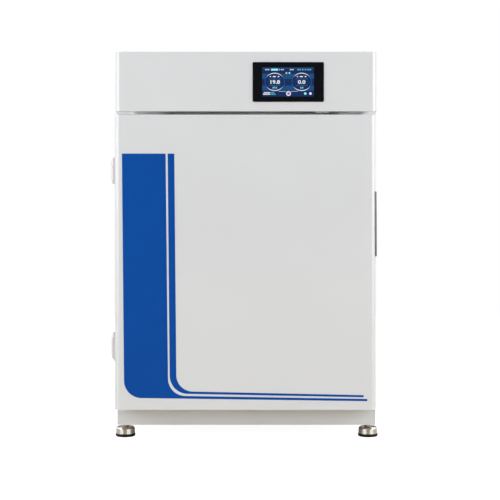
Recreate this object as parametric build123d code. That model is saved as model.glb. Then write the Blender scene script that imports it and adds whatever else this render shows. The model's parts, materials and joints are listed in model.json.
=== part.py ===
from build123d import *
import os

# Laboratory incubator: a free-standing heated chamber with a control head on top.
# Millimetres. Origin under the middle of the cabinet, on the floor. +Z up, the door faces -Y.

# ---- driving dimensions -------------------------------------------------------------------------
SHEET = 1.5                 # painted steel sheet
SIDE_X = 391.0              # half width over the side panels
HEAD_X = 390.0              # half width over the head
FRONT_Y = -390.0            # front of the head and of the door
REAR_Y = 372.0              # outside of the rear panel
EDGE_R = 15.0               # rounded upright edges of the head and the door
PLINTH_Z = (40.0, 100.0)
PLINTH_WALL = 2.0
PLINTH_FLOOR = 3.0
CABINET_TOP = 986.0         # the head starts here
HEAD_TOP = 1163.0

# plan curves of the two rails under the head's front
RAIL_LEFT = ((-386.0, -387.0), (-357.0, -387.0), (-339.0, -384.0), (-325.0, -372.0), (-303.0, -352.0),
             (-268.0, -334.0), (-225.0, -324.0))
RAIL_RIGHT = ((384.0, -387.0), (370.0, -386.0), (355.0, -377.0), (340.0, -363.0), (323.0, -350.0),
              (295.0, -337.0), (250.0, -324.0))
RAIL_WALL = 2.5

DOOR_X = (-392.0, 388.0)
DOOR_Z = (97.0, 976.0)
DOOR_BACK = -330.0
FACE_Y = -318.0             # front of the cabinet frame
GASKET_GAP = 0.3            # a closed door stands this far off its seal's other side

CHAMBER_X = 315.0           # half width inside
CHAMBER_Y = (-290.0, 285.0)
CHAMBER_Z = (165.0, 905.0)
LINER = 1.2
LINER_COVE = 20.0           # corners seen from the front
LINER_REAR_COVE = 15.0      # corners round the rear wall
LINER_FLANGE = 15.0
REBATE_X = 340.0            # half width of the recess that takes the glass door
REBATE_Z = (140.0, 930.0)
REBATE_Y = -300.0

GLASS_X = 330.0
GLASS_Z = (150.0, 920.0)
GLASS_Y = (-312.0, -307.0)
GLASS_AXIS = (-335.0, -309.5)
GLASS_CLIP_Z = (230.0, 840.0)
GLASS_PIN_R = 1.5
GLASS_PIVOT_R = 3.0
KNOB_XZ = (290.0, 540.0)

HINGE_AXIS = (-401.0, -324.0)
HINGE_Z = (280.0, 810.0)
HINGE_H = 78.0
KNUCKLE_R = 8.0
PIN_R = 3.0
PIN_GAP = 0.05              # running clearance of the hinge pins
LEAF = 3.0                  # thickness of the hinge leaves
KNUCKLE_GAP = 0.2           # at each end of a knuckle
KNUCKLE_TAPER = (3.5, 13.0) # of a hinge's two ends, across and along
CABINET_LEAF_Y = (-324.0, -272.0)
DOOR_LEAF_Y = (-374.0, -324.0)
CABINET_SCREW_Y = -292.0    # screws of the cabinet leaf
DOOR_SCREW_Y = -352.0       # screws of the door leaf

HANDLE_Z = (554.0, 747.0)
HANDLE_LOW = (386.2, 391.2)  # X range of the edge pull's lip at its lower end
HANDLE_HIGH = (384.6, 389.6) # and at its upper end

SCREEN_CENTRE = (125.4, 1072.8)
SCREEN = (154.0, 86.5)      # 7-inch 16:9 panel
BEZEL = (212.0, 118.4)
BEZEL_PROUD = 2.5

STUD_X = (-372.5, 363.5)
STUD_Y = (-278.0, 322.0)
STUD_R = 7.5
STUD_H = 14.5

FOOT_X = (-371.0, 371.0)
FOOT_Y = (-278.0, 322.0)
FOOT_R = 30.0
PAD_H = 9.0
CAP_TOP = 29.0
FOOT_STUD_R = 6.0
FOOT_STUD_TOP = 97.0
JAM_NUT_R = 11.0            # over its corners

SHELF_TOPS = (330.0, 510.0, 690.0)
SHELF_HALF = (300.0, 255.0)
UPRIGHT_Y = (-235.0, 225.0)
SLOT_PITCH = 20
SLOT_H = 8.0
SHELF_LIP = 14.5            # down-turned edge
SHELF_SHEET = 1.5
RAIL = (20.0, 8.0)          # width and depth of an upright
PAN = (480.0, 400.0, 50.0)  # humidity pan over its walls
PAN_SHEET = 1.5
PAN_RIM = 10.0

FAN = (0.0, 120.0)          # fan axis in plan
MOTOR_R, MOTOR_H = 38.0, 60.0
SHAFT_R = 4.0
IMPELLER_R, IMPELLER_H = 60.0, 26.0
SHROUD = (110.0, 50.0)      # half width and height of the fan cover
CEILING = CHAMBER_Z[1]
PROBE = (170.0, 180.0)      # places in plan of what hangs through the chamber ceiling
CO2_SENSOR = (-170.0, 180.0)
GAS_DROP = (170.0, 60.0)

PORT = (-240.0, 800.0)      # access port in the rear wall, X and Z
PORT_R = 21.0
GAS_X, GAS_Z = 250.0, 1090.0
INLET_X, INLET_Z = (-330.0, -282.0), (1090.0, 1118.0)
SWITCH_X, SWITCH_Z = (-262.0, -240.0), (1090.0, 1120.0)
SWITCH_REST = -7.0          # tilt of the rocker, degrees
SWITCH_PIVOT_Y = REAR_Y - 3.0
SCREW_R = 2.5
SCREW_HOLE = 2.7
SCREW_HEAD_R, SCREW_HEAD_H = 4.5, 2.5
LEAF_SCREW_DZ = (-26.0, 0.0, 26.0)
PANEL_SCREW_X = 378.0
PANEL_SCREW_Z = (130.0, 400.0, 670.0, 940.0, 1010.0, 1145.0)

REAR_VENT = (30.0, 5.0)     # width and height of one slot in the head's rear
REAR_VENT_PITCH = (40.0, 14.0)
REAR_VENT_FROM = (-75.0, 1030.0)
TOP_VENT_Y = (230.0, 320.0)
TOP_VENT_PITCH = 30.0

BOARD = 1.6
MAIN_BOARD_Z = 1000.0
# centre, width, depth and height of the larger parts on the main board
MAIN_BOARD_PARTS = (
    (100.0, -110.0, 40.0, 30.0, 22.0),
    (160.0, -100.0, 30.0, 30.0, 14.0),
    (215.0, -40.0, 45.0, 20.0, 16.0),
    (120.0, -30.0, 24.0, 24.0, 10.0),
)

HANDLE_CUP_Y = (-368.0, -334.0)
HANDLE_CUP_X = 362.0
BAND_TOP = 860.1            # upper end of the door film
FILM = 0.3

os.makedirs("parts", exist_ok=True)


# ---- helpers ------------------------------------------------------------------------------------
def block(x, y, z):
    """A box between two values on each axis."""
    size = Box(x[1] - x[0], y[1] - y[0], z[1] - z[0])
    return Pos((x[0] + x[1]) / 2, (y[0] + y[1]) / 2, (z[0] + z[1]) / 2) * size


def rod(radius, length, at, axis="Z"):
    """A round bar that starts at a point and runs along +axis."""
    turn = {"X": Rot(0, 90, 0), "Y": Rot(-90, 0, 0), "Z": Rot(0, 0, 0)}[axis]
    return Pos(*at) * turn * Pos(0, 0, length / 2) * Cylinder(radius, length)


def tube(outer, inner, length, at, axis="Z"):
    """A round pipe that starts at a point and runs along +axis."""
    return rod(outer, length, at, axis) - rod(inner, length, at, axis)


def upright(profile, z):
    """A plan profile raised between two heights."""
    return Pos(0, 0, z[0]) * extrude(profile, z[1] - z[0])


def front_rounded(x, y, radius):
    """A plan rectangle whose two front corners are rounded."""
    plan = Pos((x[0] + x[1]) / 2, (y[0] + y[1]) / 2) * Rectangle(x[1] - x[0], y[1] - y[0])
    return fillet(plan.vertices().sort_by(Axis.Y)[:2], radius)


def panel_plate(x, z, y, radius):
    """A plate facing the front, with rounded corners."""
    plan = RectangleRounded(x[1] - x[0], z[1] - z[0], radius)
    body = extrude(plan, y[1] - y[0])
    return Pos((x[0] + x[1]) / 2, y[1], (z[0] + z[1]) / 2) * Rot(90, 0, 0) * body


def ring_plate(x, z, width, y, radius):
    """A rounded frame of one width facing the front."""
    outer = panel_plate(x, z, y, radius)
    inner_x = (x[0] + width, x[1] - width)
    inner_z = (z[0] + width, z[1] - width)
    return outer - panel_plate(inner_x, inner_z, y, max(radius - width, 1.0))


def group(pieces):
    """Separate solids that share one node."""
    return Compound(children=[solid for piece in pieces for solid in piece.solids()])


def corners(xs, ys):
    """Every pair of one value from each list."""
    return [(x, y) for x in xs for y in ys]


def middle(pair):
    """Halfway between two values."""
    return (pair[0] + pair[1]) / 2


def save(name, shape):
    """Write one node."""
    export_step(shape, f"parts/{name}.step")


# ---- cabinet casing -----------------------------------------------------------------------------
def plinth():
    """Base pan, open at the top, with a welded nut plate over each foot."""
    outer = block((-SIDE_X, SIDE_X), (FACE_Y, REAR_Y), PLINTH_Z)
    wall = PLINTH_WALL
    floor_top = PLINTH_Z[0] + PLINTH_FLOOR
    inner = block(
        (-SIDE_X + wall, SIDE_X - wall),
        (FACE_Y + wall, REAR_Y - wall),
        (floor_top, PLINTH_Z[1] + 1),
    )
    pan = outer - inner
    for x, y in corners(FOOT_X, FOOT_Y):
        inward = -1 if x > 0 else 1
        plate_x = sorted((x + inward * -18, x + inward * 30))
        pan += block(plate_x, (y - 25, y + 25), (floor_top, floor_top + 12))
        pan -= rod(FOOT_STUD_R + 0.3, 40, (x, y, PLINTH_Z[0] - 1))
    return pan


def side_panel(side):
    """Outer side sheet with a folded rear flange."""
    outer = side * SIDE_X
    inner = side * (SIDE_X - SHEET)
    z = (PLINTH_Z[1], CABINET_TOP)
    sheet = block(sorted((outer, inner)), (FACE_Y, REAR_Y - SHEET), z)
    flange = block(
        sorted((inner, side * (SIDE_X - 22))), (REAR_Y - 2 * SHEET, REAR_Y - SHEET), z
    )
    panel = sheet + flange
    for z_screw in PANEL_SCREW_Z[:4]:
        panel -= rod(SCREW_HOLE, 6, (side * PANEL_SCREW_X, REAR_Y - 5, z_screw), "Y")
    if side < 0:
        for z_mid in HINGE_Z:
            for dz in LEAF_SCREW_DZ:
                panel -= rod(SCREW_HOLE, 6, (-SIDE_X - 2, CABINET_SCREW_Y, z_mid + dz), "X")
    return panel


def rear_panel():
    """Rear sheet of cabinet and head with its vents and cut-outs."""
    x = HEAD_X - SHEET
    z = (PLINTH_Z[1], HEAD_TOP - SHEET)
    panel = block((-x, x), (REAR_Y - SHEET, REAR_Y), z)
    panel -= rod(PORT_R + 2.2, 10, (PORT[0], REAR_Y - 5, PORT[1]), "Y")
    panel -= rod(6.2, 10, (GAS_X, REAR_Y - 5, GAS_Z), "Y")
    panel -= block(INLET_X, (REAR_Y - 5, REAR_Y + 5), INLET_Z)
    panel -= block(SWITCH_X, (REAR_Y - 5, REAR_Y + 5), SWITCH_Z)
    for row in range(6):
        for column in range(4):
            x_low = REAR_VENT_FROM[0] + column * REAR_VENT_PITCH[0]
            z_low = REAR_VENT_FROM[1] + row * REAR_VENT_PITCH[1]
            vent_x = (x_low, x_low + REAR_VENT[0])
            panel -= block(vent_x, (REAR_Y - 5, REAR_Y + 5), (z_low, z_low + REAR_VENT[1]))
    for x_screw, z_screw in corners((-PANEL_SCREW_X, PANEL_SCREW_X), PANEL_SCREW_Z):
        panel -= rod(SCREW_HOLE, 6, (x_screw, REAR_Y - 3, z_screw), "Y")
    return panel


def front_frame():
    """Moulded frame round the chamber mouth, stepped for the glass door."""
    edge = SIDE_X - SHEET
    frame = block((-edge, edge), (FACE_Y, CHAMBER_Y[0]), (PLINTH_Z[1], CABINET_TOP))
    frame -= panel_plate((-REBATE_X, REBATE_X), REBATE_Z, (FACE_Y - 1, REBATE_Y), 18)
    frame -= panel_plate(
        (-CHAMBER_X, CHAMBER_X), CHAMBER_Z, (REBATE_Y - 1, CHAMBER_Y[0] + 1), LINER_COVE
    )
    for z_mid in HINGE_Z:
        for dz in LEAF_SCREW_DZ:
            frame -= rod(SCREW_R + 0.5, 22, (-edge - 1, CABINET_SCREW_Y, z_mid + dz), "X")
    return frame


def cabinet_insulation():
    """Five mats of mineral wool between the casing and the air jacket."""
    reach = SIDE_X - SHEET - 0.5
    thick = 30
    y = (CHAMBER_Y[0] + 2, REAR_Y - 10)
    z = (PLINTH_Z[1] + 3, CABINET_TOP - 3)
    inside = reach - thick
    left = block((-reach, -inside), y, z)
    left -= block((-reach - 1, -inside + 1), (y[0] - 1, y[0] + 12), (z[0] - 1, z[1] + 1))
    right = block((inside, reach), y, z)
    rear = block((-inside, inside), (y[1] - thick, y[1]), z)
    rear -= rod(PORT_R + 4, 80, (PORT[0], REAR_Y - 80, PORT[1]), "Y")
    top = block((-inside, inside), (y[0], y[1] - thick), (z[1] - thick, z[1]))
    top -= rod(9, 80, (FAN[0], FAN[1], z[1] - 60))
    for x_hole, y_hole in (PROBE, CO2_SENSOR, GAS_DROP):
        top -= rod(9, 80, (x_hole, y_hole, z[1] - 60))
    bottom = block((-inside, inside), (y[0], y[1] - thick), (z[0], z[0] + thick))
    return group([left, right, rear, top, bottom])


def heater_mats():
    """Silicone heater mats bonded to the outside of the chamber."""
    out = CHAMBER_X + LINER
    z = (240, 830)
    left = block((-out - 2, -out), (-200, 230), z)
    right = block((out, out + 2), (-200, 230), z)
    under = CHAMBER_Z[0] - LINER
    floor = block((-250, 250), (-200, 230), (under - 2, under))
    return group([left, right, floor])


def chamber_liner():
    """Deep-drawn stainless chamber with coved corners and a front flange."""
    x = CHAMBER_X
    z = CHAMBER_Z
    outer_x = (-x - LINER, x + LINER)
    outer_z = (z[0] - LINER, z[1] + LINER)
    outer = panel_plate(
        outer_x, outer_z, (CHAMBER_Y[0], CHAMBER_Y[1] + LINER), LINER_COVE + LINER
    )
    outer = fillet(outer.faces().sort_by(Axis.Y)[-1].edges(), LINER_REAR_COVE + LINER)
    inner = panel_plate((-x, x), z, CHAMBER_Y, LINER_COVE)
    inner = fillet(inner.faces().sort_by(Axis.Y)[-1].edges(), LINER_REAR_COVE)
    flange = panel_plate(
        (-x - LINER_FLANGE, x + LINER_FLANGE),
        (z[0] - LINER_FLANGE, z[1] + LINER_FLANGE),
        (CHAMBER_Y[0], CHAMBER_Y[0] + LINER),
        LINER_COVE + 5,
    )
    liner = outer + flange - inner
    liner -= rod(PORT_R + 2.2, 20, (PORT[0], CHAMBER_Y[1] - 10, PORT[1]), "Y")
    liner -= rod(7, 20, (FAN[0], FAN[1], z[1] - 10))
    for x_hole, y_hole in (PROBE, CO2_SENSOR, GAS_DROP):
        liner -= rod(6.5, 20, (x_hole, y_hole, z[1] - 10))
    return liner


# ---- head ---------------------------------------------------------------------------------------
def head_casing():
    """Front and two sides of the head in one folded sheet, open behind the display."""
    z = (CABINET_TOP, HEAD_TOP - SHEET)
    outer = front_rounded((-HEAD_X, HEAD_X), (FRONT_Y, REAR_Y), EDGE_R)
    inner = front_rounded(
        (-HEAD_X + SHEET, HEAD_X - SHEET), (FRONT_Y + SHEET, REAR_Y + 5), EDGE_R - SHEET
    )
    casing = upright(outer - inner, z)
    for side in (-1, 1):
        flange_x = sorted((side * (HEAD_X - SHEET), side * (HEAD_X - 21)))
        casing += block(flange_x, (REAR_Y - 2 * SHEET, REAR_Y - SHEET), (z[0] + 2, z[1]))
        for z_screw in PANEL_SCREW_Z[4:]:
            casing -= rod(SCREW_HOLE, 6, (side * PANEL_SCREW_X, REAR_Y - 5, z_screw), "Y")
    cut_x, cut_z = screen_box(12)
    return casing - block(cut_x, (FRONT_Y - 1, FRONT_Y + 5), cut_z)


def top_cover():
    """Flat lid of the head with vent slots and the stacking stud holes."""
    z = (HEAD_TOP - SHEET, HEAD_TOP)
    lid = upright(front_rounded((-HEAD_X, HEAD_X), (FRONT_Y, REAR_Y), EDGE_R), z)
    for column in range(-4, 5):
        x = column * TOP_VENT_PITCH
        lid -= block((x - 3, x + 3), TOP_VENT_Y, (z[0] - 1, z[1] + 1))
    for x, y in corners(STUD_X, STUD_Y):
        lid -= rod(4.2, 10, (x, y, z[0] - 5))
    return lid


def head_floor():
    """Plate between cabinet and head, which also closes the overhang above the door."""
    reach = HEAD_X - SHEET
    plan = front_rounded((-reach, reach), (FRONT_Y + SHEET, REAR_Y - SHEET), EDGE_R - SHEET)
    floor = upright(plan, (CABINET_TOP, CABINET_TOP + 2))
    floor -= rod(9, 10, (FAN[0], FAN[1], CABINET_TOP - 4))
    for x_hole, y_hole in (PROBE, CO2_SENSOR, GAS_DROP):
        floor -= rod(8, 10, (x_hole, y_hole, CABINET_TOP - 4))
    return floor + drip_rail(RAIL_LEFT) + drip_rail(RAIL_RIGHT)


def drip_rail(points):
    """Curved rail that closes the gap above the door near one end and recedes from there."""
    first, last = points[0], points[-1]
    outline = Spline(*points) + Polyline(last, (last[0], FACE_Y), (first[0], FACE_Y), first)
    filler = upright(make_face(outline), (DOOR_Z[1] + 1, CABINET_TOP))
    return filler - Pos(0, RAIL_WALL, 0) * filler


def stacking_studs():
    """Moulded pegs that locate the feet of a second unit."""
    pegs = []
    for x, y in corners(STUD_X, STUD_Y):
        peg = rod(STUD_R, STUD_H, (x, y, HEAD_TOP))
        peg = chamfer(peg.edges().sort_by(Axis.Z)[-1], 1)
        pegs.append(peg + rod(4, 12, (x, y, HEAD_TOP - 12)))
    return group(pegs)


def screen_box(margin):
    """X and Z ranges of the lit area plus a margin."""
    half_x = SCREEN[0] / 2 + margin
    half_z = SCREEN[1] / 2 + margin
    x = (SCREEN_CENTRE[0] - half_x, SCREEN_CENTRE[0] + half_x)
    return x, (SCREEN_CENTRE[1] - half_z, SCREEN_CENTRE[1] + half_z)


def display_bezel():
    """Black moulding with a flange in front of the sheet and a pocket for the screen."""
    cx, cz = SCREEN_CENTRE[0] + 0.6, SCREEN_CENTRE[1] + 0.4
    x = (cx - BEZEL[0] / 2, cx + BEZEL[0] / 2)
    z = (cz - BEZEL[1] / 2, cz + BEZEL[1] / 2)
    front = FRONT_Y - BEZEL_PROUD
    flange = panel_plate(x, z, (front, FRONT_Y), 4)
    flange = chamfer(flange.faces().sort_by(Axis.Y)[0].outer_wire().edges(), 0.8)
    spigot_x, spigot_z = screen_box(11.5)
    body = flange + block(spigot_x, (FRONT_Y, FRONT_Y + 8), spigot_z)
    window_x, window_z = screen_box(0)
    body -= block(window_x, (front - 1, FRONT_Y + 9), window_z)
    pocket_x, pocket_z = screen_box(3)
    return body - block(pocket_x, (FRONT_Y - 1, FRONT_Y + 9), pocket_z)


def display_screen():
    """Touch panel, held in the pocket of the bezel."""
    x, z = screen_box(2.8)
    return block(x, (FRONT_Y - 1, FRONT_Y + 4), z)


def circuit_boards():
    """Display board behind the screen and the main board on the head floor."""
    x, z = screen_box(2.5)
    boards = [block(x, (FRONT_Y + 5, FRONT_Y + 5 + BOARD), z)]
    top = MAIN_BOARD_Z + BOARD
    main = block((60, 260), (-150, 10), (MAIN_BOARD_Z, top))
    for cx, cy, wide, deep, high in MAIN_BOARD_PARTS:
        x = (cx - wide / 2, cx + wide / 2)
        main += block(x, (cy - deep / 2, cy + deep / 2), (top, top + high))
    floor_top = CABINET_TOP + 2
    for x_post, y_post in corners((68, 252), (-142, 2)):
        main += rod(3, MAIN_BOARD_Z - floor_top, (x_post, y_post, floor_top))
    boards.append(main)
    return group(boards)


def power_supply():
    """Enclosed supply with a perforated lid."""
    lid = 1030
    case = block((-330, -130), (20, 140), (CABINET_TOP + 2, lid))
    for row in range(5):
        for column in range(9):
            case -= rod(4, 3, (-310 + column * 20, 40 + row * 20, lid - 2))
    return case


def door_sensor():
    """Switch housing that hangs from the head above the door."""
    body = block((208, 248), (-386, -364), (981.5, CABINET_TOP))
    body = chamfer(body.edges().filter_by(Axis.Y).sort_by(Axis.Z)[:2], 1.5)
    slot = block((227, 229), (-390, -360), (980, 984))
    return body - slot


# ---- hinges of the outer door -------------------------------------------------------------------
def knuckle(z, radius=KNUCKLE_R):
    """One barrel of a hinge between two heights."""
    return rod(radius, z[1] - z[0], (*HINGE_AXIS, z[0]))


def end_knuckle(z, upper):
    """The top or bottom barrel, which narrows towards the end of the hinge."""
    barrel = knuckle(z)
    rim = barrel.edges().filter_by(GeomType.CIRCLE).sort_by(Axis.Z)[-1 if upper else 0]
    across, along = KNUCKLE_TAPER
    plane_end = barrel.faces().filter_by(GeomType.PLANE).sort_by(Axis.Z)[-1 if upper else 0]
    return chamfer(rim, across, along, reference=plane_end)


def hinge_spans(z_mid):
    """Heights of the lower, middle and upper knuckle of one hinge."""
    third = HINGE_H / 3
    low = z_mid - HINGE_H / 2
    gap = KNUCKLE_GAP
    return [(low + i * third + gap, low + (i + 1) * third - gap) for i in range(3)]


def leaf(z_mid, x, y, own, hole_y):
    """One leaf: a screwed plate joined to its own knuckles, clear of the other leaf's."""
    low, high = z_mid - HINGE_H / 2, z_mid + HINGE_H / 2
    plate = block(x, y, (low + KNUCKLE_GAP, high - KNUCKLE_GAP))
    spans = hinge_spans(z_mid)
    for index, span in enumerate(spans):
        if index in own:
            plate += knuckle(span) if index == 1 else end_knuckle(span, index == 2)
        else:
            clear = (span[0] - 2 * KNUCKLE_GAP, span[1] + 2 * KNUCKLE_GAP)
            plate -= knuckle(clear, KNUCKLE_R + 0.6)
    bore = PIN_R + PIN_GAP if len(own) == 2 else PIN_R
    plate -= rod(bore, HINGE_H, (*HINGE_AXIS, low))
    for dz in LEAF_SCREW_DZ:
        plate -= rod(SCREW_HOLE, 8, (x[0] - 2, hole_y, z_mid + dz), "X")
    return plate


def cabinet_hinge_leaves():
    """Leaves on the cabinet side, each with the middle knuckle."""
    x = (-SIDE_X - LEAF, -SIDE_X)
    return group([leaf(z, x, CABINET_LEAF_Y, (1,), CABINET_SCREW_Y) for z in HINGE_Z])


def door_hinge_leaves():
    """Leaves on the door edge, each with the outer two knuckles."""
    x = (DOOR_X[0] - LEAF, DOOR_X[0])
    return group([leaf(z, x, DOOR_LEAF_Y, (0, 2), DOOR_SCREW_Y) for z in HINGE_Z])


def hinge_pins():
    """Pins with a thin head above the top knuckle."""
    x, y = HINGE_AXIS
    pins = []
    for z_mid in HINGE_Z:
        low = z_mid - HINGE_H / 2
        pin = rod(PIN_R, HINGE_H + 0.3, (x, y, low))
        pin += rod(PIN_R + 1, 2, (x, y, z_mid + HINGE_H / 2 + 0.3))
        pins.append(pin)
    return group(pins)


def pan_screw(at, direction, length):
    """Pan-head screw whose head stands on a face and whose shank runs along a direction."""
    axis, sign = direction
    head_h = SCREW_HEAD_H
    x, y, z = at
    if axis == "X":
        head_at = (x - head_h if sign > 0 else x, y, z)
        shank_at = (x if sign > 0 else x - length, y, z)
    else:
        head_at = (x, y - head_h if sign > 0 else y, z)
        shank_at = (x, y if sign > 0 else y - length, z)
    head = rod(SCREW_HEAD_R, head_h, head_at, axis)
    faces = head.faces().filter_by(GeomType.PLANE)
    key = Axis.X if axis == "X" else Axis.Y
    outer_face = faces.sort_by(key)[0] if sign > 0 else faces.sort_by(key)[-1]
    head = chamfer(outer_face.edges(), 1)
    return head + rod(SCREW_R, length, shank_at, axis)


def cabinet_screws():
    """Screws of the hinge leaves and of the rear panel."""
    screws = []
    for z_mid in HINGE_Z:
        for dz in LEAF_SCREW_DZ:
            at = (-SIDE_X - LEAF, CABINET_SCREW_Y, z_mid + dz)
            screws.append(pan_screw(at, ("X", 1), 14))
    for x, z in corners((-PANEL_SCREW_X, PANEL_SCREW_X), PANEL_SCREW_Z):
        screws.append(pan_screw((x, REAR_Y, z), ("Y", -1), 8))
    return group(screws)


# ---- glass door ---------------------------------------------------------------------------------
def glass_gasket():
    """Seal on the floor of the recess, just behind the glass."""
    inset = 4
    x = GLASS_X - inset
    z = (GLASS_Z[0] + inset, GLASS_Z[1] - inset)
    return ring_plate((-x, x), z, 9, (GLASS_Y[1] + GASKET_GAP, REBATE_Y), 14)


def glass_hinge_brackets():
    """Pivot posts screwed to the floor of the recess."""
    x, y = GLASS_AXIS
    posts = []
    for z_mid in GLASS_CLIP_Z:
        for side in (-1, 1):
            z_low = z_mid + side * 15 - 4
            half = GLASS_PIVOT_R
            post = block((x - half, x + half), (y, REBATE_Y), (z_low, z_low + 8))
            post += rod(half, 8, (x, y, z_low))
            posts.append(post - rod(GLASS_PIN_R + PIN_GAP, 10, (x, y, z_low - 1)))
    return group(posts)


def inner_glass():
    """Toughened glass pane."""
    return panel_plate((-GLASS_X, GLASS_X), GLASS_Z, GLASS_Y, 8)


# ---- rack, shelves and pan ----------------------------------------------------------------------
def rack_uprights():
    """Four slotted channels that stand against the chamber sides."""
    rails = []
    for side, y in corners((-1, 1), UPRIGHT_Y):
        wall = side * CHAMBER_X
        half, depth = RAIL[0] / 2, RAIL[1]
        rail = block(sorted((wall, wall - side * depth)), (y - half, y + half), (190, 880))
        hollow = half - SHEET
        rail -= block(
            sorted((wall - side * SHEET, wall - side * 20)), (y - hollow, y + hollow), (189, 881)
        )
        slots = [
            block((wall - 12, wall + 12), (y - 5, y + 5), (z, z + SLOT_H))
            for z in range(200, 870, SLOT_PITCH)
        ]
        rails.append(rail - slots)
    return group(rails)


def shelf_runners():
    """Channels that hook on the uprights and carry the shelf edges."""
    runners = []
    for top, side in corners(SHELF_TOPS, (-1, 1)):
        inner = side * (CHAMBER_X - RAIL[1] - 0.5)
        y = (UPRIGHT_Y[0] - 14, UPRIGHT_Y[1] + 14)
        low = top - SHELF_LIP - SHEET
        web = block(sorted((inner, inner - side * SHEET)), y, (low, top + 6))
        ledge = block(sorted((inner, inner - side * 18)), y, (low, low + SHEET))
        runner = web + ledge
        for y_hook in UPRIGHT_Y:
            hook_x = sorted((inner, inner + side * 5))
            runner += block(hook_x, (y_hook - 4, y_hook + 4), (top - 9, top - 4))
        runners.append(runner)
    return group(runners)


def shelf(top):
    """Slotted shelf with down-turned edges."""
    half_x, half_y = SHELF_HALF
    plate = block((-half_x, half_x), (-half_y, half_y), (top - SHELF_LIP, top))
    inner_x, inner_y = half_x - SHELF_SHEET, half_y - SHELF_SHEET
    plate -= block(
        (-inner_x, inner_x), (-inner_y, inner_y), (top - SHELF_LIP - 1, top - SHELF_SHEET)
    )
    slot = extrude(SlotOverall(90, 12), 4)
    slots = [
        Pos(x, y, top - 3) * slot for x in range(-220, 221, 110) for y in range(-225, 226, 30)
    ]
    return plate - slots


def water_pan():
    """Humidity pan on the chamber floor."""
    low = CHAMBER_Z[0] + 0.3
    wide, deep, high = PAN
    wall = PAN_SHEET
    corner = 25
    outer = RectangleRounded(wide, deep, corner)
    inner = RectangleRounded(wide - 2 * wall, deep - 2 * wall, corner - wall)
    pan = Pos(0, 0, low) * extrude(outer, high) - Pos(0, 0, low + wall) * extrude(inner, high)
    rim = RectangleRounded(wide + 2 * PAN_RIM, deep + 2 * PAN_RIM, corner + PAN_RIM) - inner
    return pan + Pos(0, 0, low + high - wall) * extrude(rim, wall)


# ---- fan ----------------------------------------------------------------------------------------
def fan_motor():
    """Motor on the head floor with its mounting flange."""
    x, y = FAN
    base = CABINET_TOP + 2
    flange = 4
    motor = rod(MOTOR_R, MOTOR_H, (x, y, base + flange)) + rod(MOTOR_R + 12, flange, (x, y, base))
    fin_z = (base + 12, base + MOTOR_H - 2)
    for step in range(12):
        fin = Rot(0, 0, step * 30) * block((MOTOR_R - 2, MOTOR_R + 4), (-1.5, 1.5), fin_z)
        motor += Pos(x, y, 0) * fin
    return motor - rod(SHAFT_R + 0.06, MOTOR_H + 10, (x, y, base - 1))


def fan_shaft():
    """Long motor shaft down to the impeller."""
    x, y = FAN
    low = CEILING - 40
    return rod(SHAFT_R, CABINET_TOP + 50 - low, (x, y, low))


def fan_impeller():
    """Back plate, hub and curved-in blades."""
    x, y = FAN
    low = CEILING - 38
    high = IMPELLER_H
    wheel = rod(IMPELLER_R, 2, (x, y, low + high)) + rod(11, high + 2, (x, y, low))
    blades = 16
    for step in range(blades):
        vane = block((-10, 10), (-0.8, 0.8), (0, high))
        blade = Pos(IMPELLER_R - 10, 0, low) * Rot(0, 0, 35) * vane
        wheel += Pos(x, y, 0) * Rot(0, 0, step * 360 / blades) * blade
    return wheel - rod(SHAFT_R, 40, (x, y, low - 5))


def fan_shroud():
    """Cover under the chamber ceiling with an inlet ring and side outlets."""
    x, y = FAN
    half, height = SHROUD
    low = CEILING - height
    box = block((x - half, x + half), (y - half, y + half), (low, CEILING))
    inner = half - SHEET
    box -= block((x - inner, x + inner), (y - inner, y + inner), (low + SHEET, CEILING + 1))
    box -= rod(42, 10, (x, y, low - 5))
    for column in range(8):
        left = x - 84 + column * 22
        box -= block((left, left + 14), (y - half - 5, y + half + 5), (low + 12, low + 36))
    return box


# ---- sensors, port and gas line -----------------------------------------------------------------
def ceiling_probe(at, radius, reach, cap_r):
    """A stem that hangs below the chamber ceiling from a cap on the head floor."""
    x, y = at
    low = CEILING - reach
    stem = rod(radius, CABINET_TOP + 2 - low, (x, y, low))
    return stem + rod(cap_r, 14, (x, y, CABINET_TOP + 2))


def temperature_probe():
    """Steel sheath beside the fan."""
    return ceiling_probe(PROBE, 3, 45, 10)


def co2_sensor():
    """Sensor head with gas slots."""
    x, y = CO2_SENSOR
    head = tube(12, 9, 36, (x, y, CEILING - 40)) + rod(12, 3, (x, y, CEILING - 5))
    for step in range(6):
        slot = Rot(0, 0, step * 60) * block((6, 14), (-2, 2), (CEILING - 34, CEILING - 12))
        head -= Pos(x, y, 0) * slot
    return head + ceiling_probe(CO2_SENSOR, 5, 4, 14)


def port_tube():
    """Sleeve through the rear wall with a collar inside the chamber."""
    x, z = PORT
    sleeve = rod(PORT_R + 2, REAR_Y + 2 - CHAMBER_Y[1] + 4, (x, CHAMBER_Y[1] - 4, z), "Y")
    sleeve += rod(PORT_R + 8, 2, (x, REAR_Y, z), "Y")
    return sleeve - rod(PORT_R, 120, (x, CHAMBER_Y[1] - 10, z), "Y")


def port_stopper():
    """Soft plug with a grip, a little smaller than the sleeve."""
    x, z = PORT
    plug = rod(PORT_R - 0.3, 60, (x, REAR_Y - 57.7, z), "Y")
    plug += rod(PORT_R + 5, 4, (x, REAR_Y + 2.3, z), "Y")
    grip = rod(12, 12, (x, REAR_Y + 6.3, z), "Y")
    grip = fillet(grip.faces().sort_by(Axis.Y)[-1].edges(), 3)
    return plug + grip


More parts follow.
